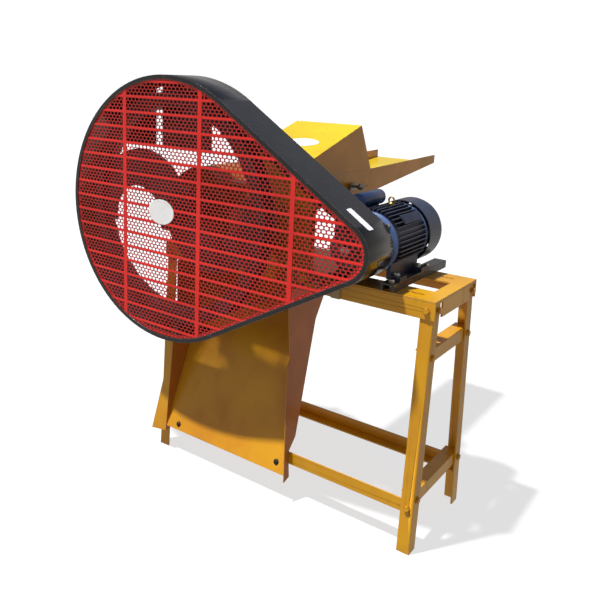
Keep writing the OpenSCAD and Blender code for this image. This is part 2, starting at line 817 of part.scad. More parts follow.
module guard_mesh() {
    rows = ceil(2 * guard_r / strip_pitch);
    bands = [box_left, wheel_x - 176, wheel_x + 152, wheel_x + 500, motor_x + nose_r];
    color("firebrick") placed() difference() {
        slab(mesh_y, mesh_t) chord_teardrop(mesh_r, mesh_nose);
        slab(mesh_y - eps, mesh_t + 2 * eps) intersection() {
            chord_teardrop(mesh_r - lip_w, mesh_nose - lip_w);
            for (b = [0:3], k = [0:rows])
                translate([bands[b] + strip_w / 2, wheel_z + guard_r - 18 - (k + 1) * strip_pitch
                    + strip_w / 2])
                    square([bands[b + 1] - bands[b] - strip_w, strip_pitch - strip_w]);
        }
    }
}

panel_low = wheel_z + 190;

// Closing plates at the back of the guard, above the drum.
module guard_panels() {
    color("black") placed() slab(-guard_off - 2 * guard_t - part_gap, guard_t) intersection() {
        teardrop(guard_r - guard_t - 1, nose_r - guard_t - 1);
        union() {
            translate([wheel_x - 342, panel_low]) square([177, 2 * guard_r]);
            translate([wheel_x - 136, panel_low]) square([221, 2 * guard_r]);
        }
    }
}

stay_t = 3.5;
block_x = 120;

// What carries the guard: a stay from the front leg and two blocks on the front beam.
module guard_brackets() {
    color("wheat") placed() {
        slab(-guard_off + part_gap, stay_t) translate([-half_len + 24, beam_top - 214])
            rotate(160) square([212, 24]);
        for (x = [block_x, block_x + 60]) slab(-guard_off + part_gap, guard_off - 2 * part_gap)
            translate([x, beam_top - beam_size]) square([30, beam_size - 6]);
    }
}

// ---- motor ---------------------------------------------------------------------------

module motor_rail(x) {
    color("black") placed() difference() {
        translate([x - 20, -4, bench_h + part_gap]) cube([40, 372, motor_rail_h - 2 * part_gap]);
        translate([x - 14, -5, bench_h - 1]) cube([28, 374, motor_rail_h - 6]);
        for (y = concat(rail_bolt_y, motor_foot_y)) translate([x, y, bench_h])
            cylinder(h = motor_rail_h + 1, r = hole_r);
    }
}

motor_foot_y = [frame_y + 22, frame_end - 22];

module motor_rail_left() { motor_rail(motor_x - foot_half); }
module motor_rail_right() { motor_rail(motor_x + foot_half); }

frame_r = 84;
fin_count = 44;

module motor_frame() {
    color("midnightblue") placed() difference() {
        union() {
            rod_y(motor_x, motor_z, frame_y, frame_len, frame_r);
            for (i = [0:fin_count - 1]) translate([motor_x, frame_y + 4, motor_z])
                rotate([0, i * 360 / fin_count, 0])
                    if (abs(i * 360 / fin_count - 90) > 58)
                        translate([frame_r - 2, 0, -1.25]) cube([fin_r - frame_r + 2,
                            frame_len - 8, 2.5]);
            for (s = [-1, 1]) for (y = motor_foot_y)
                translate([motor_x + s * foot_half - 22, y - 20, motor_z - motor_rise])
                    cube([44, 40, 12]);
            for (s = [-1, 1]) translate([motor_x + s * 62 - 7, frame_y + 4,
                motor_z - motor_rise]) cube([14, frame_len - 8, 45]);
        }
        rod_y(motor_x, motor_z, frame_y - 1, frame_len + 2, frame_r - 8);
        for (s = [-1, 1]) for (y = motor_foot_y)
            translate([motor_x + s * foot_half, y, motor_z - motor_rise - 1])
                cylinder(h = 20, r = hole_r);
    }
}

module end_shield(y_in, out) {
    color("steelblue") placed() difference() {
        turned_y(motor_x, motor_z, [[0, y_in], [frame_r + 6, y_in], [frame_r + 6, y_in + out * 10],
            [frame_r - 8, y_in + out * 17], [34, y_in + out * 20], [32, y_in + out * shield_l],
            [0, y_in + out * shield_l]]);
        rod_y(motor_x, motor_z, y_in - shield_l - 2, 2 * shield_l + 4, motor_shaft_r + 2);
        rod_y(motor_x, motor_z, out > 0 ? y_in - 1 : y_in - 14, 15, 26 + part_gap);
    }
}

module drive_end_shield() { end_shield(frame_y - part_gap, -1); }
module rear_end_shield() { end_shield(frame_end + part_gap, 1); }

module fan_cover() {
    y0 = frame_end + shield_l + 1;
    color("midnightblue") placed() difference() {
        turned_y(motor_x, motor_z, [[0, motor_end], [cover_r - 14, motor_end],
            [cover_r - 3, motor_end - 7], [cover_r, motor_end - 18], [cover_r, y0 - 14],
            [cover_r - 2, y0 - 14], [cover_r - 2, motor_end - 18],
            [cover_r - 5, motor_end - 9], [cover_r - 15, motor_end - 2], [0, motor_end - 2]]);
        for (ring = [0:3], a = [0:30:330]) translate([motor_x, motor_end + 1, motor_z])
            rotate([0, a + ring * 15, 0]) translate([20 + ring * 18, 0, 0]) rotate([90, 0, 0])
                cylinder(h = 5, r = 3 + ring * 0.8);
    }
}

module cooling_fan() {
    y0 = frame_end + shield_l + 8;
    color("darkslategray") placed() difference() {
        union() {
            rod_y(motor_x, motor_z, y0, 34, motor_shaft_r + 8);
            rod_y(motor_x, motor_z, y0, 3, 78);
            for (i = [0:7]) translate([motor_x, y0, motor_z]) rotate([0, i * 45, 0])
                translate([motor_shaft_r + 4, 0, -1.5]) cube([60, 30, 3]);
        }
        rod_y(motor_x, motor_z, y0 - 1, 40, motor_shaft_r + fit_gap);
    }
}

module motor_shaft() {
    color("silver") placed() difference() {
        rod_y(motor_x, motor_z, rim_y - 6, frame_end + shield_l + 46 - rim_y, motor_shaft_r);
        translate([motor_x - 4, rim_y - 7, motor_z + motor_shaft_r - 4]) cube([8, rim_w, 10]);
    }
}

core_y = frame_y + 38;
core_len = frame_len - 76;

module rotor_core() {
    color("silver") placed() difference() {
        union() {
            rod_y(motor_x, motor_z, core_y, core_len, 48);
            rod_y(motor_x, motor_z, core_y - 8, core_len + 16, 42);
        }
        rod_y(motor_x, motor_z, core_y - 10, core_len + 20, motor_shaft_r + fit_gap);
    }
}

module stator_core() {
    color("gray") placed() difference() {
        rod_y(motor_x, motor_z, core_y, core_len, frame_r - 8 - fit_gap);
        rod_y(motor_x, motor_z, core_y - 1, core_len + 2, 48.6);
    }
}

module windings() {
    color("peru") placed() for (y = [core_y - 22, core_y + core_len + part_gap])
        difference() {
            rod_y(motor_x, motor_z, y, 22 - part_gap, 71);
            rod_y(motor_x, motor_z, y - 1, 24, 51);
        }
}

module motor_bearings() {
    color("silver") placed() for (y = [frame_y - part_gap - 13, frame_end + part_gap])
        difference() {
            rod_y(motor_x, motor_z, y, 13, 26);
            rod_y(motor_x, motor_z, y - 1, 15, motor_shaft_r + fit_gap);
        }
}

module motor_pulley() {
    color("dimgray") placed() difference() {
        union() {
            turned_y(motor_x, motor_z, [[0, rim_y], [pulley_r, rim_y],
                [pulley_r, rim_y + rim_w], [0, rim_y + rim_w]]);
            rod_y(motor_x, motor_z, rim_y + rim_w - 1, 14, 26);
        }
        rod_y(motor_x, motor_z, rim_y - 10, rim_w + 40, motor_shaft_r + fit_gap);
        for (k = [0, 1]) groove(motor_x, motor_z, pulley_r, belt_y + k * belt_pitch - belt_w / 2);
    }
}

box_x = motor_x - fin_r - 46;
gland_hole_r = 8;

module terminal_box() {
    color("midnightblue") placed() difference() {
        union() {
            translate([box_x, frame_y + 50, motor_z - 35]) cube([46, 90, 80]);
            translate([box_x - 4, frame_y + 46, motor_z - 39]) cube([6, 98, 88]);
            translate([box_x + 40, frame_y + 62, motor_z - 24]) cube([20, 66, 56]);
        }
        translate([box_x + 2, frame_y + 54, motor_z - 31]) cube([40, 82, 72]);
        translate([box_x + 26, frame_y + 95, motor_z - 50]) cylinder(h = 24, r = gland_hole_r + 2);
        rod_y(motor_x, motor_z, frame_y - 1, frame_len + 2, frame_r + 1);
        for (i = [0:fin_count - 1]) translate([motor_x, frame_y + 3, motor_z])
            rotate([0, i * 360 / fin_count, 0]) translate([frame_r - 2, 0, -1.8])
                cube([fin_r - frame_r + 3, frame_len - 6, 3.6]);
    }
}

module cable_gland() {
    color("dimgray") placed() difference() {
        union() {
            translate([box_x + 26, frame_y + 95, motor_z - 57.5])
                cylinder(h = 18, r = 14, $fn = 6);
            translate([box_x + 26, frame_y + 95, motor_z - 40])
                cylinder(h = 9, r = gland_hole_r + 1.8);
        }
        translate([box_x + 26, frame_y + 95, motor_z - 60]) cylinder(h = 40, r = gland_hole_r);
    }
}

module capacitor() {
    cap_x = motor_x - 58;
    cap_z = motor_z + fin_r + 12;
    color("black") placed() difference() {
        union() {
            rod_y(cap_x, cap_z, frame_y + 20, 130, 23);
            rod_y(cap_x, cap_z, frame_y + 149, 6, 20);
            translate([cap_x - 12, frame_y + 40, cap_z - 43]) cube([24, 90, 30]);
        }
        rod_y(motor_x, motor_z, frame_y, frame_len, fin_r + part_gap);
    }
}

module motor_bolts() {
    color("gray") placed() {
        for (s = [-1, 1]) for (y = motor_foot_y)
            translate([motor_x + s * foot_half, y, motor_z - motor_rise + 12]) bolt(18);
        for (s = [-1, 1]) for (y = rail_bolt_y)
            translate([motor_x + s * foot_half, y, bench_h + motor_rail_h - part_gap])
                bolt(motor_rail_h + plate_t + angle_t + 4);
    }
}

top_plate();
front_beam();
rear_beam();
left_beam();
right_beam();
leg_front_left();
leg_front_right();
leg_rear_left();
leg_rear_right();
low_rail_front();
low_rail_rear();
low_rail_left();
low_rail_right();
mid_rail();
bench_bolts();
mill_front_plate();
mill_rear_plate();
mill_shell();
screen();
front_bearing();
rear_bearing();
main_shaft();
rotor_discs();
hammer_pins();
hammer_row_1();
hammer_row_2();
hammer_row_3();
hammer_row_4();
flywheel();
flywheel_nut();
mill_bolts();
feed_throat();
feed_box();
hood();
feed_tray();
slide_gate();
feed_stand();
discharge_chute();
guard_band();
guard_mesh();
guard_panels();
guard_brackets();
v_belts();
motor_rail_left();
motor_rail_right();
motor_frame();
drive_end_shield();
rear_end_shield();
fan_cover();
cooling_fan();
motor_shaft();
rotor_core();
stator_core();
windings();
motor_bearings();
motor_pulley();
terminal_box();
cable_gland();
capacitor();
motor_bolts();
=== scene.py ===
import math

import bpy
import numpy as np
from mathutils import Matrix, Vector


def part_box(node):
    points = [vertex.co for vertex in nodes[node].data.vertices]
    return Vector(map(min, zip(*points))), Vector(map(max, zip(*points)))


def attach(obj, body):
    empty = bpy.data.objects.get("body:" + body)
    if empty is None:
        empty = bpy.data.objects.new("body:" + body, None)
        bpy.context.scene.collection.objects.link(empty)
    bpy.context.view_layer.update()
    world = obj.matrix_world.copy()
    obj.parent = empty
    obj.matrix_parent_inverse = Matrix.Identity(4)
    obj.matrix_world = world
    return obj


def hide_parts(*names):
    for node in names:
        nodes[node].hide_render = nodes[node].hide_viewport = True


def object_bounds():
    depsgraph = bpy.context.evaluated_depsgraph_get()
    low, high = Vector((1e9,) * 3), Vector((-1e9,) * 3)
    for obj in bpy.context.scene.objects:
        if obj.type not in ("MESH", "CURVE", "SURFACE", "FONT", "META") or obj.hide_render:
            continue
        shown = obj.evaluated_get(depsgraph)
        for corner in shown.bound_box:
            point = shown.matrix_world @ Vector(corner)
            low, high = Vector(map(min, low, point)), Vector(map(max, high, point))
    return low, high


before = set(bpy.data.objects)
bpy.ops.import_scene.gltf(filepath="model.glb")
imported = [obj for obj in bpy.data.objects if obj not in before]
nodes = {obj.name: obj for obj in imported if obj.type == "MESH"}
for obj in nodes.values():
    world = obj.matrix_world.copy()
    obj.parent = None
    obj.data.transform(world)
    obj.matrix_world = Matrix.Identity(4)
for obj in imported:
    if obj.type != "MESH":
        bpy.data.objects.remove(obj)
cad_low, cad_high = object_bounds()

# ---- Camera, floor and light -------------------------------------------------------------
# A studio corner: a pale floor that runs out to a white surround, one high sun-like lamp from
# the front left, and a camera at eye height in front of the motor's end of the bench.
scene = bpy.context.scene
scene.view_settings.view_transform = "Standard"

camera_yaw, camera_pitch, camera_roll = (math.radians(a) for a in (36.537, 11.941, 1.868))
camera_place = Vector((1.34744, -2.11871, 1.34198))
forward = Vector((-math.sin(camera_yaw) * math.cos(camera_pitch),
                  math.cos(camera_yaw) * math.cos(camera_pitch), -math.sin(camera_pitch)))
level = Vector((math.cos(camera_yaw), math.sin(camera_yaw), 0))
upright = level.cross(forward)
right = level * math.cos(camera_roll) + upright * math.sin(camera_roll)
up = upright * math.cos(camera_roll) - level * math.sin(camera_roll)

camera = bpy.data.objects.new("camera", bpy.data.cameras.new("camera"))
camera.data.lens = 42.22
camera.data.shift_x, camera.data.shift_y = 0.0667, -0.125
camera.matrix_world = Matrix.Translation(camera_place) @ Matrix(
    (right, up, -forward)).transposed().to_4x4()
scene.collection.objects.link(camera)
scene.camera = camera

sun = bpy.data.objects.new("sun", bpy.data.lights.new("sun", "SUN"))
sun.data.energy, sun.data.angle = 4.5, math.radians(2.5)
sun.rotation_mode = "QUATERNION"
sun.rotation_quaternion = Vector((-0.24, -0.32, 0.92)).to_track_quat("Z", "Y")
scene.collection.objects.link(sun)


class Wire:
    """A socket of a shader's nodes. Arithmetic on it adds Math nodes."""

    def __init__(self, socket):
        self.socket, self.tree = socket, socket.id_data

    def node(self, kind, inputs, settings=None, output=0):
        """Adds a node: its settings first, then its sockets' values or links."""
        made = self.tree.nodes.new(kind)
        for name, value in (settings or {}).items():
            if name == "stops":
                while len(made.color_ramp.elements) < len(value):
                    made.color_ramp.elements.new(0.5)
                for stop, (place, colour) in zip(made.color_ramp.elements, value):
                    stop.position, stop.color = place, (*colour, 1)
            else:
                setattr(made, name, value)
        for name, value in inputs.items():
            if isinstance(value, Wire):
                self.tree.links.new(value.socket, made.inputs[name])
            else:
                made.inputs[name].default_value = value
        return Wire(made.outputs[output])

    def math(self, operation, first, second):
        return self.node("ShaderNodeMath", {0: first, 1: second}, {"operation": operation})

    def __add__(self, other):
        return self.math("ADD", self, other)

    def __sub__(self, other):
        return self.math("SUBTRACT", self, other)

    def __rsub__(self, other):
        return self.math("SUBTRACT", other, self)

    def __mul__(self, other):
        return self.math("MULTIPLY", self, other)

    __radd__, __rmul__ = __add__, __mul__


world = bpy.data.worlds.new("surround")
world.use_nodes = True
world_nodes = world.node_tree.nodes
sky_way = Wire(world_nodes.new("ShaderNodeTexCoord").outputs["Generated"])
sky_height = sky_way.node("ShaderNodeSeparateXYZ", {"Vector": sky_way}, output="Z")
sky = sky_height.node("ShaderNodeValToRGB", {"Fac": sky_height}, {
    "stops": ((0.0, (0.46, 0.43, 0.40)), (0.75, (0.16, 0.18, 0.24)))})
world.node_tree.links.new(sky.socket, world_nodes["Background"].inputs["Color"])
scene.world = world


def shown(name, points, faces, smooth=False):
    """A mesh object from points and faces in metres."""
    mesh = bpy.data.meshes.new(name)
    mesh.from_pydata([tuple(p) for p in points], [], [tuple(f) for f in faces])
    mesh.validate()
    for polygon in mesh.polygons:
        polygon.use_smooth = smooth
    made = bpy.data.objects.new(name, mesh)
    scene.collection.objects.link(made)
    return made


def surface(name):
    """A new material: the place of a point on its piece, and a call that closes it."""
    material = bpy.data.materials.new(name)
    material.use_nodes = True
    shader = material.node_tree.nodes["Principled BSDF"]

    def close(**finish):
        for word, value in finish.items():
            socket = shader.inputs[word.replace("_", " ")]
            if isinstance(value, Wire):
                material.node_tree.links.new(value.socket, socket)
            else:
                socket.default_value = (*value, 1) if isinstance(value, tuple) else value
        return material

    place = Wire(material.node_tree.nodes.new("ShaderNodeTexCoord").outputs["Object"])
    return place, close


def grain(place, scale, detail=3.0, stretch=(1, 1, 1)):
    """Noise from 0 to 1 whose features are about 1 / scale metres across."""
    if stretch != (1, 1, 1):
        place = place.node("ShaderNodeMapping", {"Vector": place, "Scale": stretch})
    return place.node("ShaderNodeTexNoise", {"Vector": place, "Scale": scale, "Detail": detail})


def tint(factor, first, second):
    """A colour between two others."""
    first, second = ((*c, 1) if isinstance(c, tuple) else c for c in (first, second))
    return factor.node("ShaderNodeMix", {0: factor, 6: first, 7: second},
                       {"data_type": "RGBA"}, output=2)


floor_size, floor_z = 40.0, -0.0005
floor = shown("floor", [(x * floor_size, y * floor_size, floor_z) for x, y in
                        ((-1, -1), (1, -1), (1, 1), (-1, 1))], [(0, 1, 2, 3)])
place, close = surface("floor_paint")
pale = tint(grain(place, 0.8), (0.27, 0.27, 0.27), (0.3, 0.3, 0.3))
floor.data.materials.append(close(Base_Color=pale, Roughness=0.9, Specular_IOR_Level=0.1,
                                  Emission_Color=(1.0, 1.0, 1.0), Emission_Strength=0.68))
floor.visible_diffuse = floor.visible_glossy = False

rings, sectors, dome_rise, dome_sink = 12, 32, 1.5, 1
dome_points = [(floor_size * math.cos(h) * math.cos(a), floor_size * math.cos(h) * math.sin(a),
                floor_size * math.sin(h) - dome_sink) for h in np.linspace(0, dome_rise, rings)
               for a in np.linspace(0, 2 * math.pi, sectors, endpoint=False)]
dome_faces = [(i * sectors + j, i * sectors + (j + 1) % sectors,
               (i + 1) * sectors + (j + 1) % sectors, (i + 1) * sectors + j)
              for i in range(rings - 1) for j in range(sectors)]
dome_faces.append(range((rings - 1) * sectors, rings * sectors))
dome = shown("surround_wall", dome_points, dome_faces, smooth=True)
place, close = surface("surround_white")
dome.data.materials.append(close(Base_Color=(0.0, 0.0, 0.0), Emission_Color=(1.0, 1.0, 1.0),
                                 Emission_Strength=1.0))
dome.visible_diffuse = dome.visible_glossy = dome.visible_shadow = False

# ---- Bench -------------------------------------------------------------------------------
# A frame of rolled angle iron, bolted at its corners, with a flat steel plate on top. All of
# it is sprayed with one coat of golden yellow enamel, its bolts too, over a red-brown primer.


def step(value, low, high):
    """0 below low, 1 above high, smooth between them."""
    return value.node("ShaderNodeMapRange", {"Value": value, "From Min": low, "From Max": high},
                      {"interpolation_type": "SMOOTHSTEP"})


def worn_edges(place, width):
    """1 along the outer edges of a piece, 0 on its flats, broken up by noise."""
    round_normal = place.node("ShaderNodeBevel", {"Radius": width}, {"samples": 4})
    flat_normal = place.node("ShaderNodeNewGeometry", {}, output="Normal")
    turn = place.node("ShaderNodeVectorMath", {0: round_normal, 1: flat_normal},
                      {"operation": "DOT_PRODUCT"}, output="Value")
    return step(1 - turn + grain(place, 90) * 0.08, 0.075, 0.16)


def bumped(height, distance, strength):
    """A normal tilted by a height that varies over the surface."""
    return height.node("ShaderNodeBump", {"Height": height, "Distance": distance,
                                          "Strength": strength})


def enamel(name, deep, bright, chipped, roughness=0.3, wear=1.0, dirt=0.35, side_shade=None):
    """Sprayed enamel: two shades, dust in streaks, fine orange peel and chips at the edges.

    A side shade is painted shade, darker and redder, on the upright faces towards the bench's
    ends.
    """
    place, close = surface(name)
    shade = tint(step(grain(place, 5, 4), 0.3, 0.7), deep, bright)
    # Faces whose normals point along X turn to the side shade: painted shade on the end faces.
    if side_shade:
        facing = place.node("ShaderNodeSeparateXYZ", {"Vector": place.node(
            "ShaderNodeNewGeometry", {}, output="Normal")})
        shade = tint(step(facing.math("ABSOLUTE", facing, 0.0), 0.6, 0.85), shade,
                     tint(step(grain(place, 9, 4), 0.35, 0.7), side_shade,
                          tuple(1.25 * c for c in side_shade)))
    streaks = step(grain(place, 22, 5, stretch=(1, 1, 0.25)), 0.52, 0.78)
    dusty = tint(streaks * dirt, shade, tuple(0.7 * d + 0.02 for d in deep))
    specks = step(grain(place, 420, 2), 0.70, 0.76)
    edges = worn_edges(place, 0.0022) * wear
    chips = edges + specks * 0.35 * step(grain(place, 9), 0.5, 0.62)
    peel = grain(place, 650, 2) * 0.7 + grain(place, 60) * 0.3 - chips * 0.6
    return close(
        Base_Color=tint(chips, dusty, chipped),
        Roughness=roughness + streaks * 0.22 + chips * 0.3 + grain(place, 40) * 0.06,
        Normal=bumped(peel, 0.0004, 0.22), Coat_Weight=0.25, Coat_Roughness=0.12)


weld_gap = 1e-5


def finish(node_names, material, edge=0.0008):
    """Gives CAD nodes a material and breaks their sharp edges."""
    for name in node_names:
        piece = nodes[name]
        piece.data.materials.clear()
        piece.data.materials.append(material)
        if edge:
            weld = piece.modifiers.new("weld", "WELD")
            weld.merge_threshold = weld_gap
            bevel = piece.modifiers.new("edges", "BEVEL")
            bevel.width, bevel.segments = edge, 2
            bevel.limit_method, bevel.angle_limit = "ANGLE", math.radians(50)
            bevel.harden_normals = True


golden = enamel("golden_enamel", (0.62, 0.27, 0.004), (0.74, 0.37, 0.003),
                (0.20, 0.075, 0.03))
finish(["top_plate", "front_beam", "rear_beam", "left_beam", "right_beam", "leg_front_left",
        "leg_front_right", "leg_rear_left", "leg_rear_right", "low_rail_front",
        "low_rail_rear", "low_rail_left", "low_rail_right", "mid_rail"], golden)
finish(["bench_bolts"], golden, edge=0.0005)

# ---- Drum --------------------------------------------------------------------------------
# Two thick end plates and a rolled shell, welded up and sprayed a red-brown, stand on the
# bench on feet. A punched steel screen lies in the drum's lower half.
russet = enamel("russet_enamel", (0.33, 0.10, 0.02), (0.46, 0.15, 0.025),
                (0.12, 0.09, 0.07), roughness=0.38)
finish(["mill_front_plate", "mill_rear_plate", "mill_shell"], russet)


def steel(name, dark, light, roughness, tooled=(1, 1, 1), rust=0.2):
    """Bare steel: fine tool marks along one direction, oil stains and a little rust."""
    place, close = surface(name)
    marks = grain(place, 900, 2, stretch=tooled)
    stains = step(grain(place, 30, 4), 0.5, 0.75)
    rusty = step(grain(place, 75, 5), 0.62, 0.78) * rust
    colour = tint(stains * 0.5 + marks * 0.3, light, dark)
    return close(Base_Color=tint(rusty, colour, (0.22, 0.08, 0.03)),
                 Metallic=1 - rusty * 0.9, Roughness=roughness + stains * 0.15 + marks * 0.1,
                 Normal=bumped(marks, 0.0002, 0.15))


screen_steel = steel("punched_steel", (0.20, 0.20, 0.21), (0.45, 0.45, 0.46), 0.38)
finish(["screen"], screen_steel, edge=0)

# ---- Bearings and bolts ------------------------------------------------------------------
# Cast flange bearings, painted machine grey, carry the shaft on both end plates. Zinc-plated
# hexagon bolts hold them and the drum's feet.


def casting(name, dark, light, roughness=0.45):
    """Painted or bare cast iron: sand-cast lumps under the finish, worn at the edges."""
    place, close = surface(name)
    sand = grain(place, 240, 4)
    shade = tint(step(grain(place, 18, 4), 0.3, 0.7), dark, light)
    edges = worn_edges(place, 0.002)
    return close(Base_Color=tint(edges * 0.8, shade, (0.30, 0.29, 0.28)),
                 Metallic=edges * 0.6, Roughness=roughness + sand * 0.2 - edges * 0.1,
                 Normal=bumped(sand, 0.0007, 0.35), Coat_Weight=0.15, Coat_Roughness=0.3)


bearing_grey = casting("bearing_grey", (0.10, 0.11, 0.13), (0.17, 0.18, 0.20))
finish(["front_bearing", "rear_bearing"], bearing_grey, edge=0.001)
zinc = steel("zinc_plate", (0.34, 0.33, 0.30), (0.66, 0.65, 0.60), 0.3, rust=0.35)
finish(["mill_bolts", "motor_bolts", "flywheel_nut"], zinc, edge=0.0005)

# ---- Rotor -------------------------------------------------------------------------------
# A ground shaft carries four steel discs. Four pins run through them, and a row of hardened
# bars swings on each pin between the discs.
ground = steel("ground_steel", (0.42, 0.42, 0.43), (0.68, 0.68, 0.69), 0.22,
               tooled=(1, 0.05, 1), rust=0.1)
finish(["main_shaft", "hammer_pins"], ground, edge=0.0006)
finish(["rotor_discs"], steel("disc_steel", (0.16, 0.16, 0.17), (0.36, 0.36, 0.37), 0.4))
finish(["hammer_row_1", "hammer_row_2", "hammer_row_3", "hammer_row_4"],
       steel("hammer_steel", (0.10, 0.10, 0.11), (0.28, 0.28, 0.30), 0.35, rust=0.4))

# ---- Flywheel ----------------------------------------------------------------------------
# One heavy iron casting with two broad curved arms and two V grooves turned in its rim. It
# is painted a dark grey all over.
wheel_grey = casting("wheel_grey", (0.022, 0.022, 0.026), (0.05, 0.05, 0.056), 0.38)
finish(["flywheel"], wheel_grey, edge=0.0015)

# ---- Belts -------------------------------------------------------------------------------
# Two endless rubber V-belts run from the motor's pulley to the flywheel's rim. Each is a
# trapezium in section with a fabric cover that has gone grey in patches.
wheel_low, wheel_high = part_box("flywheel")
pulley_low, pulley_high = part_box("motor_pulley")
belt_low, belt_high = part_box("v_belts")
wheel_r = (wheel_high.z - wheel_low.z) / 2
wheel_x, wheel_z = wheel_low.x + wheel_r, (wheel_low.z + wheel_high.z) / 2
pulley_r = (pulley_high.z - pulley_low.z) / 2
motor_x, motor_z = (pulley_low.x + pulley_high.x) / 2, (pulley_low.z + pulley_high.z) / 2


def round_two(big, small, arc_step=math.radians(2)):
    """Points in X and Z on the outline round the wheel's and the motor's shafts."""
    run = math.hypot(motor_x - wheel_x, motor_z - wheel_z)
    slope = math.atan2(motor_z - wheel_z, motor_x - wheel_x)
    wrap = math.acos((big - small) / run)
    far = np.linspace(slope + wrap, slope + 2 * math.pi - wrap,
                      int((2 * math.pi - 2 * wrap) / arc_step))
    near = np.linspace(slope - wrap, slope + wrap, int(2 * wrap / arc_step))
    return np.array([(wheel_x + big * math.cos(a), wheel_z + big * math.sin(a)) for a in far]
                    + [(motor_x + small * math.cos(a), motor_z + small * math.sin(a))
                       for a in near])


belt_top = wheel_x - belt_low.x
belt_count, belt_wide, belt_narrow, belt_deep = 2, 0.0116, 0.0078, 0.0078
belt_crown, belt_proud = 0.0006, 0.0001
belt_pitch = (belt_high.y - belt_low.y) - belt_wide
belt_drop = wheel_r - belt_top
belt_points, belt_faces = [], []
belt_section = [(0, -0.5 * belt_wide), (-belt_crown, -0.5 * belt_wide - belt_proud),
                (-belt_deep, -0.5 * belt_narrow), (-belt_deep, 0.5 * belt_narrow),
                (-belt_crown, 0.5 * belt_wide + belt_proud), (0, 0.5 * belt_wide)]
for k in range(belt_count):
    middle = belt_low.y + belt_wide / 2 + k * belt_pitch
    first = len(belt_points)
    loops = [round_two(belt_top + deep, pulley_r - belt_drop + deep)
             for deep, _ in belt_section]
    around = min(len(loop) for loop in loops)
    for (_, across), loop in zip(belt_section, loops):
        picked = loop[np.linspace(0, len(loop) - 1, around).round().astype(int)]
        belt_points += [(x, middle + across, z) for x, z in picked]
    corners = len(belt_section)
    belt_faces += [(first + c * around + i, first + c * around + (i + 1) % around,
                    first + (c + 1) % corners * around + (i + 1) % around,
                    first + (c + 1) % corners * around + i)
                   for c in range(corners) for i in range(around)]
belts = shown("drive_belts", belt_points, belt_faces)

place, close = surface("belt_rubber")
weave = place.node("ShaderNodeTexWave", {"Vector": place, "Scale": 260.0, "Distortion": 1.5})
scuffs = step(grain(place, 120, 4), 0.45, 0.7)
belts.data.materials.append(close(
    Base_Color=tint(scuffs * 0.6 + weave * 0.2, (0.012, 0.012, 0.012), (0.06, 0.058, 0.055)),
    Roughness=0.6 + scuffs * 0.2, Normal=bumped(weave + scuffs * 0.5, 0.0003, 0.4)))
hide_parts("v_belts")
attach(belts, "bench")

# ---- Feed --------------------------------------------------------------------------------
# Folded sheet steel: a square throat on the drum, a feed box on its stand, a sloping hood
# over it and an open tray behind. They are lemon yellow, but for the red-brown throat and
# the golden stand.
# The lemon's side shade is painted shade on the end faces of the box, hood and tray.
lemon = enamel("lemon_enamel", (0.70, 0.48, 0.003), (0.80, 0.60, 0.003),
               (0.25, 0.10, 0.04), roughness=0.26, wear=0.8, dirt=0.2,
               side_shade=(0.50, 0.20, 0.008))
finish(["feed_box", "hood", "feed_tray"], lemon)
finish(["feed_throat"], russet)
finish(["feed_stand"], golden)

# ---- Slide gate --------------------------------------------------------------------------
# A flat steel gate in the feed box's floor, pulled out by a ball knob outside the box. Both
# are bare steel, dark and somewhat rusty.
finish(["slide_gate"], steel("gate_steel", (0.10, 0.09, 0.08), (0.36, 0.33, 0.28), 0.35,
                             tooled=(0.05, 1, 1), rust=0.5))

# ---- Discharge chute ---------------------------------------------------------------------
# A wide sheet-steel chute under the drum, folded once at the back and open at the front,
# with a flared corner at its left edge. Its enamel is a darker, redder copy of the bench's,
# painted shade, dulled by meal and dust, with more painted shade on its end faces.
chute_paint = enamel("chute_enamel", (0.58, 0.23, 0.005), (0.70, 0.33, 0.006),
                     (0.20, 0.075, 0.03), roughness=0.36, wear=0.7, dirt=0.4,
                     side_shade=(0.40, 0.115, 0.010))
finish(["discharge_chute"], chute_paint)

# ---- Guard band --------------------------------------------------------------------------
# A strip of black enamelled sheet bent round the flywheel and the pulley, with a lip turned
# in at both edges and two closing plates at its back. A primed stay and blocks carry it.


def black_gloss(name, dark, light, roughness):
    """Thick glossy black enamel with dust on it and pale blue-grey edges: scuffs and a painted
    highlight.
    """
    place, close = surface(name)
    dust = step(grain(place, 14, 5), 0.4, 0.8)
    scratches = step(grain(place, 260, 2, stretch=(0.08, 1, 1)), 0.66, 0.74)
    edges = worn_edges(place, 0.0018)
    shade = tint(dust * 0.7, dark, light)
    # The blue-grey on the edges is partly scuffed paint, partly a painted highlight of the
    # sky's sheen.
    return close(Base_Color=tint(edges * 0.7 + scratches * 0.15, shade, (0.28, 0.32, 0.38)),
                 Roughness=roughness + dust * 0.14 + scratches * 0.15,
                 Normal=bumped(grain(place, 500, 2) + grain(place, 12) * 2, 0.0006, 0.12),
                 Coat_Weight=0.6, Coat_Roughness=0.08)


band_black = black_gloss("band_black", (0.004, 0.004, 0.004), (0.014, 0.014, 0.016), 0.2)
finish(["guard_band", "guard_panels"], band_black, edge=0.0006)
finish(["guard_brackets"], enamel("primer_cream", (0.42, 0.30, 0.14), (0.55, 0.42, 0.22),
                                  (0.14, 0.08, 0.04), roughness=0.5))

# ---- Guard sheet -------------------------------------------------------------------------
# The guard's front is red enamelled sheet, punched with staggered slots in rows of four.
# Plain strips between the rows and three upright bands stiffen it.
sheet_low, sheet_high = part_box("guard_mesh")
sheet_r = (sheet_high.z - sheet_low.z) / 2
sheet_nose = sheet_high.x - motor_x
slot_pitch, slot_rows, strip_pitch, strip_width = 0.0168, 4, 0.050, 0.0074
row_height = (strip_pitch - strip_width) / slot_rows
sheet_thick, rib_proud, strip_margin = 0.001, 0.0007, 0.018
band_width, band_proud, band_inset, band_offsets = 0.016, 0.0004, 0.0002, (-0.176, 0.152, 0.50)
edge_width, edge_inset = 0.018, 0.0012
outline = round_two(sheet_r, sheet_nose)


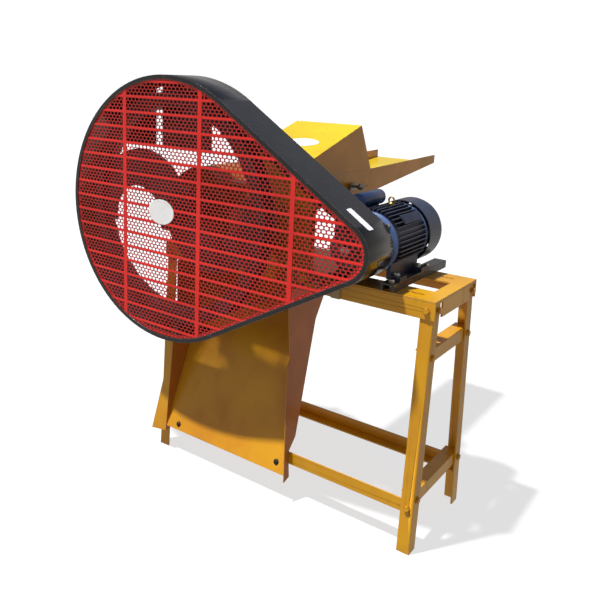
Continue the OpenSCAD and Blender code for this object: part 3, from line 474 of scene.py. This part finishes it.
def span(points, height, axis):
    """Where a level line (axis 1) or an upright one (axis 0) crosses a closed outline."""
    there = points[:, axis] - height
    after = np.roll(there, -1)
    cross = np.nonzero(there * after < 0)[0]
    ends = np.roll(points, -1, axis=0)
    share = there[cross] / (there[cross] - after[cross])
    other = points[cross, 1 - axis] + share * (ends[cross, 1 - axis] - points[cross, 1 - axis])
    return (other.min(), other.max()) if len(other) > 1 else None


cell = [(-0.5, -0.5), (0, -0.5), (0.5, -0.5), (0.5, 0), (0.5, 0.5), (0, 0.5), (-0.5, 0.5),
        (-0.5, 0)]
slot = [(-0.27, -0.40), (0, -0.40), (0.27, -0.40), (0.41, 0), (0.27, 0.40), (0, 0.40),
        (-0.27, 0.40), (-0.41, 0)]
cell_points = len(cell)
sheet_points, sheet_faces = [], []
first_strip = sheet_high.z - strip_margin
strip_levels = [first_strip - k * strip_pitch for k in range(int(2 * sheet_r / strip_pitch))]
for k, level_z in enumerate([first_strip + strip_pitch] + strip_levels):
    for row in range(slot_rows):
        z = level_z - strip_width / 2 - (row + 0.5) * row_height
        spans = [span(outline, z + s * row_height / 2, 1) for s in (-1, 1)]
        if None in spans:
            continue
        left, right_end = max(s[0] for s in spans), min(s[1] for s in spans)
        shift = (row % 2) * 0.5 * slot_pitch
        start = math.ceil((left - sheet_low.x - shift) / slot_pitch) * slot_pitch
        x = sheet_low.x + shift + start + slot_pitch / 2
        while x + slot_pitch / 2 < right_end:
            base = len(sheet_points)
            for u, v in cell + slot:
                sheet_points.append((x + u * slot_pitch, sheet_low.y, z + v * row_height))
            sheet_faces += [(base + i, base + (i + 1) % cell_points,
                             base + cell_points + (i + 1) % cell_points,
                             base + cell_points + i) for i in range(cell_points)]
            x += slot_pitch


def prism(points, faces, ring, y0, y1):
    """Adds a closed prism to points and faces: an outline in X and Z between two depths."""
    base, count = len(points), len(ring)
    points += [(x, y0, z) for x, z in ring] + [(x, y1, z) for x, z in ring]
    faces.append(tuple(base + i for i in range(count)))
    faces.append(tuple(base + count + i for i in reversed(range(count))))
    faces += [(base + (i + 1) % count, base + i, base + count + i,
               base + count + (i + 1) % count) for i in range(count)]


punched = shown("guard_sheet", sheet_points, sheet_faces)
weld = punched.modifiers.new("weld", "WELD")
weld.merge_threshold = weld_gap
thick = punched.modifiers.new("thickness", "SOLIDIFY")
thick.thickness, thick.offset = sheet_thick, -1

rib_points, rib_faces = [], []
for z in strip_levels:
    top, bottom = (span(outline, z + s * strip_width / 2, 1) for s in (1, -1))
    if top and bottom:
        prism(rib_points, rib_faces,
              [(top[0], z + strip_width / 2), (bottom[0], z - strip_width / 2),
               (bottom[1], z - strip_width / 2), (top[1], z + strip_width / 2)],
              sheet_low.y - rib_proud, sheet_low.y + sheet_thick)
for x in (wheel_x + offset for offset in band_offsets):
    near, far = (span(outline, x + s * band_width / 2, 0) for s in (-1, 1))
    prism(rib_points, rib_faces,
          [(x - band_width / 2, near[0]), (x + band_width / 2, far[0]),
           (x + band_width / 2, far[1]), (x - band_width / 2, near[1])],
          sheet_low.y - rib_proud - band_proud, sheet_low.y + sheet_thick - band_inset)
inner = round_two(sheet_r - edge_width, sheet_nose - edge_width)
count = min(len(outline), len(inner))
outer_ring = outline[np.linspace(0, len(outline) - 1, count).round().astype(int)]
inner_ring = inner[np.linspace(0, len(inner) - 1, count).round().astype(int)]
base = len(rib_points)
edge_y = sheet_low.y + edge_inset
for ring, y in ((outer_ring, edge_y), (inner_ring, edge_y),
                (inner_ring, sheet_high.y), (outer_ring, sheet_high.y)):
    rib_points += [(x, y, z) for x, z in ring]
rib_faces += [(base + c * count + i, base + c * count + (i + 1) % count,
               base + (c + 1) % 4 * count + (i + 1) % count, base + (c + 1) % 4 * count + i)
              for c in range(4) for i in range(count)]
ribs = shown("guard_ribs", rib_points, rib_faces)
soften = ribs.modifiers.new("edges", "BEVEL")
soften.width, soften.segments = 0.0004, 2
soften.limit_method = "ANGLE"

sheet_red = enamel("sheet_red", (0.72, 0.012, 0.008), (0.88, 0.022, 0.014),
                   (0.30, 0.03, 0.02), roughness=0.34, wear=0.3, dirt=0.2)
# A darker copy of the ribs' red on the punched sheet: painted shade on one enamel.
shaded_punched_red = enamel("shaded_punched_red", (0.36, 0.010, 0.006), (0.50, 0.014, 0.010),
                     (0.20, 0.02, 0.015), roughness=0.4, wear=0.2, dirt=0.3)
for piece, paint in ((punched, shaded_punched_red), (ribs, sheet_red)):
    piece.data.materials.append(paint)
    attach(piece, "bench")
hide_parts("guard_mesh")

# ---- Blank labels ------------------------------------------------------------------------
# A plain white oval plate on the sheet, another on the hood, and a narrow white strip on the
# guard's band near the motor. They are plastic stickers without any wording.


def sticker(name, centre, across, upward, wide, tall, corner, thick=0.0006):
    """A thin plate with a domed face, oval when corner is 2 and nearly square when high."""
    across, upward = Vector(across).normalized(), Vector(upward).normalized()
    out = across.cross(upward)
    steps, points, faces = 64, [], []
    rounds = ((1, 0), (1, 0.6), (0.97, 1), (0.86, 1), (0.84, 0.7), (0.0, 0.75))
    for share, lift in rounds:
        for i in range(steps if share else 1):
            a = 2 * math.pi * i / steps
            u, v = (math.copysign(abs(f(a)) ** (2 / corner), f(a)) * share
                    for f in (math.cos, math.sin))
            points.append(Vector(centre) + across * u * wide / 2 + upward * v * tall / 2
                          + out * lift * thick)
    last = len(rounds) - 2
    for ring in range(last):
        faces += [(ring * steps + i, ring * steps + (i + 1) % steps,
                   (ring + 1) * steps + (i + 1) % steps, (ring + 1) * steps + i)
                  for i in range(steps)]
    faces += [(last * steps + i, last * steps + (i + 1) % steps, (last + 1) * steps)
              for i in range(steps)]
    faces.append(tuple(reversed(range(steps))))
    made = shown(name, points, faces)
    made.data.materials.append(label_white)
    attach(made, "bench")
    return made


place, close = surface("label_white")
label_age = step(grain(place, 45, 4), 0.4, 0.8)
label_white = close(Base_Color=tint(label_age * 0.5, (0.97, 0.97, 0.97), (0.80, 0.78, 0.74)),
                    Roughness=0.25 + label_age * 0.2,
                    Normal=bumped(grain(place, 300), 0.0003, 0.1), Coat_Weight=0.4)
oval, nearly_square, badge_gap, hood_gap = 2, 12, 0.0012, 0.0002
sticker("sheet_badge", (-0.2351, sheet_low.y - badge_gap, 0.9034), (1, 0, 0), (0, 0, 1),
        0.112, 0.082, oval)
hood_slope = Vector((0, 0.277, 0.087)).normalized()
hood_out = Vector((0, -hood_slope.z, hood_slope.y))
sticker("hood_badge", Vector((0.1253, -0.2580, 1.1431)) + hood_out * hood_gap, (1, 0, 0),
        hood_slope, 0.115, 0.062, oval)
band_run = math.hypot(motor_x - wheel_x, motor_z - wheel_z)
band_r, band_nose = wheel_x - cad_low.x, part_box("guard_band")[1].x - motor_x
band_turn = (math.atan2(motor_z - wheel_z, motor_x - wheel_x)
             + math.acos((band_r - band_nose) / band_run))
band_out = Vector((math.cos(band_turn), 0, math.sin(band_turn)))
band_along = Vector((math.sin(band_turn), 0, -math.cos(band_turn)))
label_spot, label_y = Vector((0.459, 0, 0.9746)), -0.4706
label_run = (label_spot - Vector((wheel_x, 0, wheel_z))).dot(band_along)
sticker("band_label", Vector((wheel_x, label_y, wheel_z)) + band_out * band_r
        + band_along * label_run, (0, 1, 0), -band_along, 0.026, 0.088, nearly_square)

# ---- Motor rails -------------------------------------------------------------------------
# Two channels of black-painted steel across the bench. The motor is bolted down on them and
# slides with them to tighten the belts.
rail_black = black_gloss("rail_black", (0.012, 0.012, 0.013), (0.05, 0.045, 0.035), 0.4)
finish(["motor_rail_left", "motor_rail_right"], rail_black, edge=0.0015)

# ---- Motor -------------------------------------------------------------------------------
# A foot-mounted induction motor: a finned iron frame in dark blue, lighter blue end shields,
# a pressed fan cover, and a capacitor in its own housing high on the frame's left.
motor_navy = casting("motor_navy", (0.006, 0.010, 0.028), (0.018, 0.030, 0.075), 0.3)
finish(["motor_frame"], motor_navy, edge=0)
finish(["terminal_box"], motor_navy, edge=0.001)
shield_blue = casting("shield_blue", (0.05, 0.10, 0.24), (0.09, 0.16, 0.36), 0.34)
finish(["drive_end_shield", "rear_end_shield"], shield_blue, edge=0.001)
cover_navy = enamel("cover_navy", (0.012, 0.022, 0.055), (0.03, 0.05, 0.11),
                    (0.20, 0.20, 0.20), roughness=0.24, wear=0.6, dirt=0.2)
finish(["fan_cover"], cover_navy, edge=0)
finish(["capacitor"], enamel("capacitor_navy", (0.012, 0.03, 0.09), (0.02, 0.05, 0.14),
                             (0.10, 0.10, 0.12), roughness=0.25, wear=0.3, dirt=0.15),
       edge=0.002)

# ---- Motor insides -----------------------------------------------------------------------
# The rotor with its shaft, bearings and plastic fan turns inside a laminated stator with
# varnished copper windings.
finish(["motor_shaft", "motor_bearings"], ground, edge=0)
finish(["rotor_core", "stator_core"],
       steel("laminations", (0.22, 0.22, 0.23), (0.44, 0.44, 0.45), 0.4,
             tooled=(0.05, 1, 0.05)), edge=0)
place, close = surface("varnished_copper")
strands = place.node("ShaderNodeTexWave", {"Vector": place, "Scale": 180.0,
                                           "Distortion": 3.0})
finish(["windings"], close(
    Base_Color=tint(strands, (0.22, 0.07, 0.02), (0.58, 0.24, 0.08)), Metallic=0.7,
    Roughness=0.3 + strands * 0.15, Normal=bumped(strands, 0.0005, 0.6)), edge=0.002)
place, close = surface("moulded_plastic")
moulded = grain(place, 500, 2)
black_plastic = close(
    Base_Color=tint(step(grain(place, 30), 0.4, 0.7), (0.015, 0.015, 0.016),
                    (0.035, 0.035, 0.037)), Roughness=0.42 + moulded * 0.1,
    Normal=bumped(moulded, 0.0003, 0.25))
finish(["cooling_fan", "cable_gland"], black_plastic, edge=0.0005)

# ---- Pulley ------------------------------------------------------------------------------
# A small cast-iron pulley with two turned V grooves, keyed to the motor's shaft. It is left
# bare and has darkened.
finish(["motor_pulley"], casting("pulley_iron", (0.05, 0.05, 0.052), (0.13, 0.13, 0.135)),
       edge=0.0006)

# ---- Nameplate pad -----------------------------------------------------------------------
# A smooth raised pad cast on the finned frame, where a nameplate would be riveted. It is
# painted with the frame and left blank.
pad_r, pad_deep, pad_y, pad_turn = 0.0992, 0.006, (-0.288, -0.172), (35, 53)
pad_points, pad_faces = [], []
pad_steps = 13
pad_angles = np.radians(np.linspace(*pad_turn, pad_steps))
for a in pad_angles:
    for radius, y in ((pad_r, pad_y[0]), (pad_r, pad_y[1]), (pad_r - pad_deep, pad_y[1]),
                      (pad_r - pad_deep, pad_y[0])):
        pad_points.append((motor_x + radius * math.cos(a), y, motor_z + radius * math.sin(a)))
for i in range(len(pad_angles) - 1):
    pad_faces += [(4 * i + c, 4 * i + (c + 1) % 4, 4 * i + 4 + (c + 1) % 4, 4 * i + 4 + c)
                  for c in range(4)]
pad_faces += [(3, 2, 1, 0), tuple(4 * len(pad_angles) - 4 + c for c in range(4))]
pad = shown("nameplate_pad", pad_points, pad_faces)
rounded = pad.modifiers.new("edges", "BEVEL")
rounded.width, rounded.segments, rounded.limit_method = 0.0015, 3, "ANGLE"
pad.data.materials.append(motor_navy)
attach(pad, "bench")

# ---- Small fittings ----------------------------------------------------------------------
# Screws that hold the chute and the drive-end shield, grease nipples on the bearings, a brass
# lifting eye on the motor's frame and the backplate of its fan. They are fitted last.
dark_iron = steel("black_screw", (0.02, 0.018, 0.016), (0.07, 0.06, 0.055), 0.45, rust=0.6)
zinc_bright = steel("bright_zinc", (0.40, 0.40, 0.38), (0.72, 0.71, 0.68), 0.28, rust=0.1)
brass = steel("dull_brass", (0.30, 0.18, 0.04), (0.58, 0.38, 0.10), 0.32, rust=0.1)


def turned(name, profile, base_place, along, material, body, sides=24):
    """A piece turned about an axis: (radius, height) pairs from base_place, along a way."""
    along = Vector(along).normalized()
    across = along.orthogonal().normalized()
    third = along.cross(across)
    points, faces = [], []
    for radius, height in profile:
        for i in range(sides):
            a = 2 * math.pi * i / sides
            points.append(Vector(base_place) + along * height
                          + (across * math.cos(a) + third * math.sin(a)) * radius)
    for ring in range(len(profile) - 1):
        faces += [(ring * sides + i, ring * sides + (i + 1) % sides,
                   (ring + 1) * sides + (i + 1) % sides, (ring + 1) * sides + i)
                  for i in range(sides)]
    faces.append(tuple(reversed(range(sides))))
    faces.append(tuple((len(profile) - 1) * sides + i for i in range(sides)))
    made = shown(name, points, faces)
    made.data.materials.append(material)
    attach(made, body)
    return made


screw = [(0.0095, 0.0), (0.0095, 0.0014), (0.0078, 0.0016), (0.0072, 0.0040), (0.0050, 0.0056),
         (0.0020, 0.0060)]
chute_out = Vector((0, -0.919, 0.394))
for k, spot in enumerate(((-0.2486, -0.4145, 0.1126), (0.1775, -0.4098, 0.1236))):
    turned(f"chute_screw_{k}", screw, spot, chute_out, dark_iron, "bench")
shield_step, shield_circle = 0.0130, 0.083
shield_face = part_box("drive_end_shield")[1].y - shield_step
hexagon = [(0.0085, 0.0), (0.0085, 0.0012), (0.0066, 0.0013), (0.0066, 0.0052),
           (0.0060, 0.0058), (0.0020, 0.0060)]
for k in range(4):
    a = math.radians(45 + 90 * k)
    turned(f"shield_bolt_{k}", hexagon,
           (motor_x + shield_circle * math.cos(a), shield_face,
            motor_z + shield_circle * math.sin(a)), (0, -1, 0), zinc_bright, "bench",
           sides=6)
nipple = [(0.005, 0.0), (0.005, 0.005), (0.0028, 0.006), (0.0028, 0.010), (0.0038, 0.011),
          (0.0038, 0.014), (0.0016, 0.016)]
nipple_inset, boss_height = 0.008, 0.0343
for k, (name, way) in enumerate((("front_bearing", -1), ("rear_bearing", 1))):
    low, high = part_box(name)
    nipple_y = low.y + nipple_inset if way < 0 else high.y - nipple_inset
    turned(f"grease_nipple_{k}", nipple, (wheel_x, nipple_y, wheel_z + boss_height), (0, 0, 1),
           brass, "bench", sides=12)
eye_y, eye_sink = -0.224, 0.004
eye_base = Vector((motor_x, eye_y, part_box("motor_frame")[1].z - eye_sink))
turned("lifting_eye_base", [(0.0085, 0.0), (0.0085, 0.006), (0.0060, 0.0085)], eye_base,
       (0, 0, 1), brass, "bench")
eye_r, eye_wire, eye_lift, eye_steps, wire_steps = 0.0085, 0.0027, 0.0155, 32, 12
eye_points = [(eye_base.x + (eye_r + eye_wire * math.cos(b)) * math.cos(a),
               eye_base.y + eye_wire * math.sin(b),
               eye_base.z + eye_lift + (eye_r + eye_wire * math.cos(b)) * math.sin(a))
              for a in np.linspace(0, 2 * math.pi, eye_steps, endpoint=False)
              for b in np.linspace(0, 2 * math.pi, wire_steps, endpoint=False)]
eye_faces = [(i * wire_steps + j, (i + 1) % eye_steps * wire_steps + j,
              (i + 1) % eye_steps * wire_steps + (j + 1) % wire_steps,
              i * wire_steps + (j + 1) % wire_steps)
             for i in range(eye_steps) for j in range(wire_steps)]
eye = shown("lifting_eye", eye_points, eye_faces, smooth=True)
eye.data.materials.append(brass)
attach(eye, "bench")
fan_low, plate_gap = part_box("cooling_fan")[0], 0.0032
turned("fan_backplate", [(0.022, 0.0), (0.088, 0.0), (0.0885, 0.0015), (0.088, 0.003),
                         (0.022, 0.003)], (motor_x, fan_low.y - plate_gap, motor_z), (0, 1, 0),
       black_plastic, "motor_rotor", sides=64)
